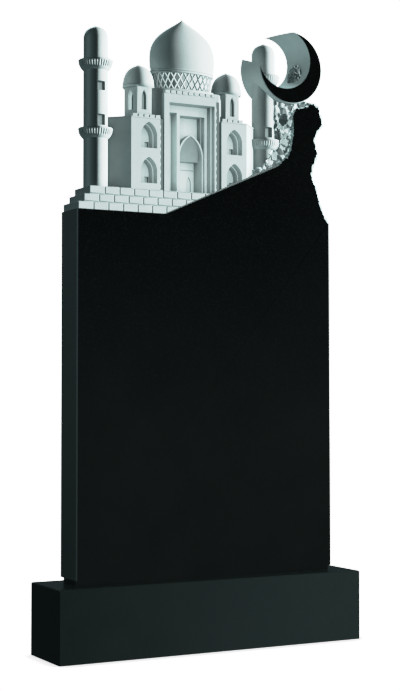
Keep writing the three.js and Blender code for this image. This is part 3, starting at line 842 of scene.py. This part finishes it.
walls = carved(wall_solids[0], joins=wall_solids[1:] + rope_cores + [together(*beads)])
walls = carved(walls, cuts=wall_cuts)
walls = carved(walls, joins=[together(*merlons), door], cuts=[doorway, small_niche, panel_line])
left_slot = (axis_x - wing_inners[-1] + 0.1, portal_left)
right_slot = (portal_right, axis_x + wing_inners[1] - 0.1)


# Painted shade: faces deep in the slots take the dark copy, and faces under the door's hood the half-dark
# copy.
def wall_finish(middle, normal):
    in_slot = any(slot[0] < middle.x < slot[1] for slot in (left_slot, right_slot))
    if in_slot and face + 1.5 < middle.y < slot_back + 1 and middle.z < slot_top:
        return 1
    in_door = mullion_right < middle.x < inner_right and door_face + 0.1 < middle.y < hood_back + 0.1
    return 2 if in_door and lintel - 1 < middle.z < apex and normal.y < -0.02 else 0


# Painted shade: a dark copy of the granite for the slots and the right-facing reveals of the kiosks' niches.
deep_painted_shade_granite = milled("deep_painted_shade_granite", (0.06, 0.07, 0.07), (0.04, 0.047, 0.047))
# Painted shade: a half-dark copy of the granite for the faces under the door's hood and inside the kiosks'
# niches.
hood_painted_shade_granite = milled("hood_painted_shade_granite", (0.155, 0.172, 0.17), (0.12, 0.135, 0.133))
wall_materials = [milled_granite, deep_painted_shade_granite, hood_painted_shade_granite]
piece("mosque_walls", walls, wall_materials, wall_finish, sharp=20)

# Main dome: an oval base drum, a flaring drum with a lattice of crossed ribs, two ring mouldings
# and the swelling dome, all cut in one with the wall behind the portal.
dome_width = 74
dome_share = 0.54
dome_fullness = 3.5
widest = ground + 281.7
base_foot, base_top = ground + 138, ground + 215
base_radius, base_share = 92, 0.4
lattice_foot, lattice_top = ground + 213, ground + 251
lattice_count = 28
lattice_rise = 25
rib_height = 3
rib_half, rib_slope = 1.25, 1.15
drum_radius, drum_flare, flare_power = 64.5, 5.5, 1.6
drum_rows = 45
drum_lip = 70.5
ring_radius, ring_flatness = 70.4, 0.9
ring_rows = ((lattice_top - 0.5, 2.4), (lattice_top + 4.2, 2.2))
round_sides = 192


def dome_curve(radius, z_foot, z_tip, fullness, steps):
    """Rows of a dome from its widest place up; a higher fullness gives a blunter tip."""
    shares = [math.sin(k / steps * math.pi / 2) for k in range(steps)]
    radii = [radius * math.sqrt(1 - t * t) * (1 - t ** fullness) for t in shares]
    return [*[(r, z_foot + (z_tip - z_foot) * t) for r, t in zip(radii, shares)], (0.0, z_tip)]


def lattice(angles, radius, z):
    """The ground between the crossed ribs lies back by the ribs' height."""
    if not lattice_foot < z < lattice_top or radius == 0:
        return 0 * angles
    across = angles / (2 * math.pi) * lattice_count
    up = (z - lattice_top) / lattice_rise
    per_line = 1 / math.hypot(lattice_count / (2 * math.pi * 65), 1 / lattice_rise)
    nearest = np.minimum(*[np.abs((across + sign * up + 0.5) % 1 - 0.5) for sign in (-1, 1)]) * per_line
    rib = np.clip(rib_half - nearest / rib_slope, 0, 1)
    return -rib_height * (1 - rib * rib * (3 - 2 * rib))


base_profile = [
    (0, base_foot),
    (base_radius, base_foot),
    (base_radius, base_top - 4),
    (base_radius - 0.8, base_top - 1.5),
    (base_radius - 3, base_top),
    (0, base_top),
]
base_drum = turned(axis_x, 0, base_profile, 160, base_share)
drum_profile = [(0, lattice_foot - 6), (drum_radius, lattice_foot - 6), (drum_radius, lattice_foot - 0.2)]
for k in range(drum_rows + 1):
    z = lattice_foot + 0.4 + (lattice_top - lattice_foot - 0.8) * k / drum_rows
    drum_profile.append((drum_radius + drum_flare * (k / drum_rows) ** flare_power, z))
drum_profile += [(drum_lip, lattice_top + 0.2), (drum_lip, lattice_top + 2), (0, lattice_top + 2)]
drum = turned(axis_x, 0, drum_profile, 560, dome_share, lattice)
ring_profile = [(0, lattice_top - 3)]
for middle, size in ring_rows:
    for k in range(9):
        angle = -math.pi / 2 + math.pi * k / 8
        bulge = size * math.cos(angle) * ring_flatness
        ring_profile.append((ring_radius + bulge, middle + size * math.sin(angle)))
ring_profile.append((0, lattice_top + 6.4))
ring = turned(axis_x, 0, ring_profile, round_sides, dome_share)
shell = [
    (0, lattice_top + 5),
    (dome_width - 3, lattice_top + 5),
    (dome_width - 2.6, widest - 24),
    (dome_width - 1.4, widest - 18),
    (dome_width - 0.5, widest - 12),
    (dome_width - 0.1, widest - 6),
]
shell += dome_curve(dome_width, widest, top, dome_fullness, 64)
dome = turned(axis_x, 0, shell, round_sides, dome_share)
before_stone = front - 10
room_foot = ground + 130
room_across = (outer_left - 2, outer_right + 2)
recess_room = block(*room_across, before_stone, inner_back + 1, room_foot, outer_top + 2)
drum_slot = block(portal_right - 1, axis_x + 95, before_stone, slot_back, room_foot, base_top + 1)
base_drum = carved(base_drum, cuts=[recess_room, drum_slot])
main_dome = carved(base_drum, joins=[drum, ring, dome])
piece("main_dome", main_dome, [milled_granite], sharp=40)

# Kiosks: a small six-sided turret on each wing, milled from the slab, with narrow pointed niches, an
# eaves ring and a round dome. The right one stands a little higher.
kiosk_sides = 6
kiosk_radius = 32
kiosk_ring = 33.5
kiosk_dome = 32.5
kiosk_fullness = 10
kiosk_foot = ground + 138
kiosk_round_sides = 96
apothem = kiosk_radius * math.cos(math.pi / kiosk_sides)
kiosk_niche = (10, 25, 40)
kiosk_niche_foot, kiosk_niche_depth = ground + 166, 11
kiosk_frame = (13, 25.5, 43)
kiosk_frame_drop, kiosk_frame_depth = 1.2, 1
kiosk_materials = [milled_granite, hood_painted_shade_granite, deep_painted_shade_granite]


def set_round(mesh, x, angle):
    """Turn a mesh drawn at the front of an upright axis round it, and move the axis to x."""
    cosine, sine = math.cos(angle), math.sin(angle)
    for vertex in mesh.vertices:
        vx, vy = vertex.co.x, vertex.co.y
        vertex.co.x = x * mm + vx * cosine - vy * sine
        vertex.co.y = vx * sine + vy * cosine
    return mesh


for name, offset, rise in (("left_kiosk", -101.5, 0), ("right_kiosk", 106, 3)):
    x = axis_x + offset
    kiosk_eaves, kiosk_top = ground + 216 + rise, ground + 263.5 + rise
    corners = [math.pi * (2 * k + 1) / kiosk_sides + math.pi / 2 for k in range(kiosk_sides)]
    plan = [(x + kiosk_radius * math.cos(a), kiosk_radius * math.sin(a)) for a in corners]
    drum = column(plan, kiosk_foot, kiosk_eaves)
    eaves = [(0, kiosk_eaves - 3), (kiosk_radius - 1, kiosk_eaves - 3)]
    bulge = kiosk_ring - kiosk_radius + 1
    for k in range(9):
        swell = bulge * math.sin(k / 8 * math.pi)
        eaves.append((kiosk_radius - 1 + swell, kiosk_eaves - 2.5 + 5.5 * k / 8))
    eaves.append((0, kiosk_eaves + 3))
    cap = dome_curve(kiosk_dome, kiosk_eaves + 2.5, kiosk_top, kiosk_fullness, 32)
    cap = [(0, kiosk_eaves + 2), *cap]
    niche_foot = kiosk_niche_foot + rise
    niches = []
    for turn in (-1, 0, 1):
        opening = pointed(0, niche_foot, *kiosk_niche, 6)
        rebate = pointed(0, niche_foot - kiosk_frame_drop, *kiosk_frame, 6)
        for arch, depth in ((opening, kiosk_niche_depth), (rebate, kiosk_frame_depth)):
            cut = prism(arch, -apothem - 2, -apothem + depth)
            niches.append(set_round(cut, x, turn * 2 * math.pi / kiosk_sides))

    # Painted shade: faces inside the niches take the half-dark copy, and their right-facing reveals the dark
    # copy.
    def kiosk_finish(middle, normal):
        in_niche = math.hypot(middle.x - x, middle.y) < apothem - 1.5
        if not in_niche or middle.z > kiosk_eaves - 4:
            return 0
        return 2 if normal.x > 0.3 else 1

    round_parts = [turned(x, 0, profile, kiosk_round_sides) for profile in (eaves, cap)]
    kiosk = carved(drum, joins=round_parts, cuts=niches)
    piece(name, kiosk, kiosk_materials, kiosk_finish, sharp=30)

# Crescent: a disc that widens a little to the back, with an off-centre round hollow that narrows
# to the back and leans to the gap between the horns. Its front is polished, its rim and hollow are
# milled, and a rough lump is left low in the hollow.
moon_x, moon_z = right - 99.6, shoulder + 334
moon_radius = 78
moon_chamfer = 1.4
moon_flare = 2
hollow_x, hollow_z = moon_x - 15.7, moon_z + 17.2
hollow_front, hollow_narrowing = 64.5, 7
hollow_lean = 3
moon_sides = 224
beyond = 10


def across_turned(x, z, profile, sides):
    """A form turned on an axis that runs front to back, from rows of radius and depth."""
    upright = turned(0, 0, profile, sides)
    for vertex in upright.vertices:
        a, b, c = vertex.co
        vertex.co = (x * mm + a, c, z * mm - b)
    return upright


back_radius = moon_radius + moon_flare
moon_profile = [
    (0, front),
    (moon_radius - moon_chamfer, front),
    (moon_radius, front + moon_chamfer),
    (back_radius, back - 1),
    (back_radius - 1, back),
    (0, back),
]
disc = across_turned(moon_x, moon_z, moon_profile, moon_sides)
slant = hollow_narrowing / (back - front)
hollow_profile = [
    (0, front - beyond),
    (hollow_front + beyond * slant, front - beyond),
    (hollow_front - hollow_narrowing - beyond * slant, back + beyond),
    (0, back + beyond),
]
hollow = across_turned(hollow_x, hollow_z, hollow_profile, moon_sides)
for vertex in hollow.vertices:
    share = (vertex.co.y / mm - front) / (back - front)
    vertex.co.x -= hollow_lean * share * mm
    vertex.co.z += hollow_lean * share * mm


def moon_finish(middle, normal):
    return 1 if normal.y < -0.99 and middle.y < front + 0.01 else 0


moon_materials = [milled_granite, polished_black]
piece("crescent", carved(disc, cuts=[hollow]), moon_materials, moon_finish)


def rough_mass(name, base, voxel, spacing, level, seed, material):
    """A solid remeshed and chiselled all over into facets."""
    work = bpy.data.objects.new("work", base)
    bpy.context.collection.objects.link(work)
    remesh = work.modifiers.new("remesh", "REMESH")
    remesh.mode = "VOXEL"
    remesh.voxel_size = voxel * mm
    depsgraph = bpy.context.evaluated_depsgraph_get()
    made = bpy.data.meshes.new_from_object(work.evaluated_get(depsgraph))
    bpy.data.objects.remove(work)
    places = np.array([vertex.co for vertex in made.vertices]) / mm
    normals = np.array([vertex.normal for vertex in made.vertices])
    places -= normals * facets(places, spacing, level, tilt=0.4, seed=seed)[:, None]
    made.vertices.foreach_set("co", (places * mm).astype(np.float32).ravel())
    made.update()
    piece(name, made, [material], sharp=14)


hewn_dark = hewn(
    "hewn_dark_rock",
    dark=(0.05, 0.062, 0.062),
    grey=(0.12, 0.14, 0.14),
    chip=(0.3, 0.34, 0.34),
    chip_from=0.86,
)
lump_x, lump_y, lump_z = hollow_x + 53, 4, hollow_z - 33
lump_rows = ((0, -20), (9, -16), (14, -6), (14, 8), (11, 22), (5, 32), (0, 35))
lump_profile = [(radius, lump_z + z) for radius, z in lump_rows]
lump = turned(lump_x, lump_y, lump_profile, sides=24, depth_share=1.7)
rough_mass("crescent_lump", lump, voxel=1.6, spacing=7, level=4.0, seed=21, material=hewn_dark)

# Seat of the crescent: rock left standing behind the polished pillar, between it, the right
# minaret and the underside of the crescent. It is hewn all over and spreads at its foot.
seat_outline = [
    (pillar_neck - 76, up_pillar(0.36)),
    (pillar_neck + 8, up_pillar(0.36)),
    (right - 30, up_pillar(0.9)),
    (right - 34, up_pillar(1.01)),
    (right - 62, up_pillar(1.035)),
    (pillar_neck - 31, up_pillar(1.04)),
    (pillar_neck - 31, up_pillar(0.69)),
    (pillar_neck - 39, up_pillar(0.61)),
    (pillar_neck - 50, up_pillar(0.53)),
    (pillar_neck - 60, up_pillar(0.46)),
    (pillar_neck - 76, up_pillar(0.43)),
]
seat = prism(seat_outline, front + 11, back - 2)
rough_mass("crescent_seat", seat, voxel=1.8, spacing=13, level=6, seed=33, material=hewn_rock)

# Minarets: round shafts with a pointed cap and two ribbed balconies on rounded corbels, turned out
# of the slab's thickness. The left one is painted dark on its outer side, as painted shade, and made
# smoother there; the right one runs up behind the crescent.
minaret_offset = 198.5
shaft = 25
right_rise = 6
cap_fullness = 8
cap_foot_height, cap_tip_height = 306.5, 333.5
balcony_tops = (122, 262)
balcony_height = 21.5
corbel_reach, corbel_power, corbel_rows = 8.8, 0.8, 16
rib_count = 36
rib_foot, rib_top = 16.5, 3.3
window_half = 8.7
window_shift = 2.7
lower_window, lower_window_height = ground + 126.5, 22.5
upper_window, upper_window_height = ground + 197.5, 19


def balcony_profile(z):
    """Rows of a balcony whose floor is at z: a corbel that swells out to a low parapet."""
    rows = [(0, z - balcony_height), (shaft - 0.5, z - balcony_height), (shaft + 0.5, z - 21.2)]
    for k in range(corbel_rows + 1):
        share = k / corbel_rows
        swell = corbel_reach * math.sin(share * math.pi / 2) ** corbel_power
        rows.append((shaft + 1 + swell, z - 20.5 + 17 * share))
    return [*rows, (shaft + 10.2, z - 3.2), (shaft + 10.4, z - 1.2), (shaft + 9.8, z), (0, z)]


def ribbed(z, depth):
    """Upright ribs round a balcony, with hollows between them of the given depth."""
    def relief(angles, radius, height):
        if radius < shaft + 2 or not z - rib_foot < height < z - rib_top - 0.1:
            return 0 * angles
        share = min(1.0, (height - z + rib_foot) / 4, (z - rib_top - height) / 1.5)
        return -depth * share * (1 - np.abs(np.cos(angles * rib_count / 2)) ** 0.6)
    return relief


def minaret_solids(x, lift, rib_depths):
    cap = dome_curve(shaft, ground + cap_foot_height + lift, ground + cap_tip_height + lift, cap_fullness, 28)
    heights = [ground - lap, ground + 100, ground + 200, ground + 300]
    profile = [(0, heights[0]), *[(shaft, z) for z in heights], *cap]
    balconies = []
    for height, depth in zip(balcony_tops, rib_depths):
        z = ground + height + lift
        balcony = turned(x, 0, balcony_profile(z), rib_count * 10, relief=ribbed(z, depth))
        balconies.append(balcony)
    return turned(x, 0, profile, 128), balconies


def window(x, sill, height):
    return block(x - window_half, x + window_half, -shaft - 12, -shaft + 18, sill, sill + height)


x = axis_x - minaret_offset
tower, balconies = minaret_solids(x, lift=0, rib_depths=(2.2, 2.2))
windows = [
    window(x + window_shift, lower_window, lower_window_height),
    window(x + window_shift, upper_window, upper_window_height),
]
left_minaret = carved(tower, joins=balconies, cuts=windows)
painted_shade_edge = axis_x - 204
minaret_granite = milled("milled_granite_painted_shade_edge", pale_granite, shaded_granite, painted_shade_left_of=painted_shade_edge)
piece("left_minaret", left_minaret, [minaret_granite], sharp=40)

x = axis_x + minaret_offset
tower, balconies = minaret_solids(x, lift=right_rise, rib_depths=(1.0, 0.6))
clip_radius = moon_radius - 1
clip_profile = [(0, front - 1), (clip_radius, front - 1), (clip_radius, back + 1), (0, back + 1)]
upper_balcony = carved(balconies[1], meets=[across_turned(moon_x, moon_z, clip_profile, 96)])
windows = [window(x, lower_window + right_rise, lower_window_height)]
right_minaret = carved(tower, joins=[balconies[0], upper_balcony], cuts=windows)
piece("right_minaret", right_minaret, [milled_granite], sharp=40)
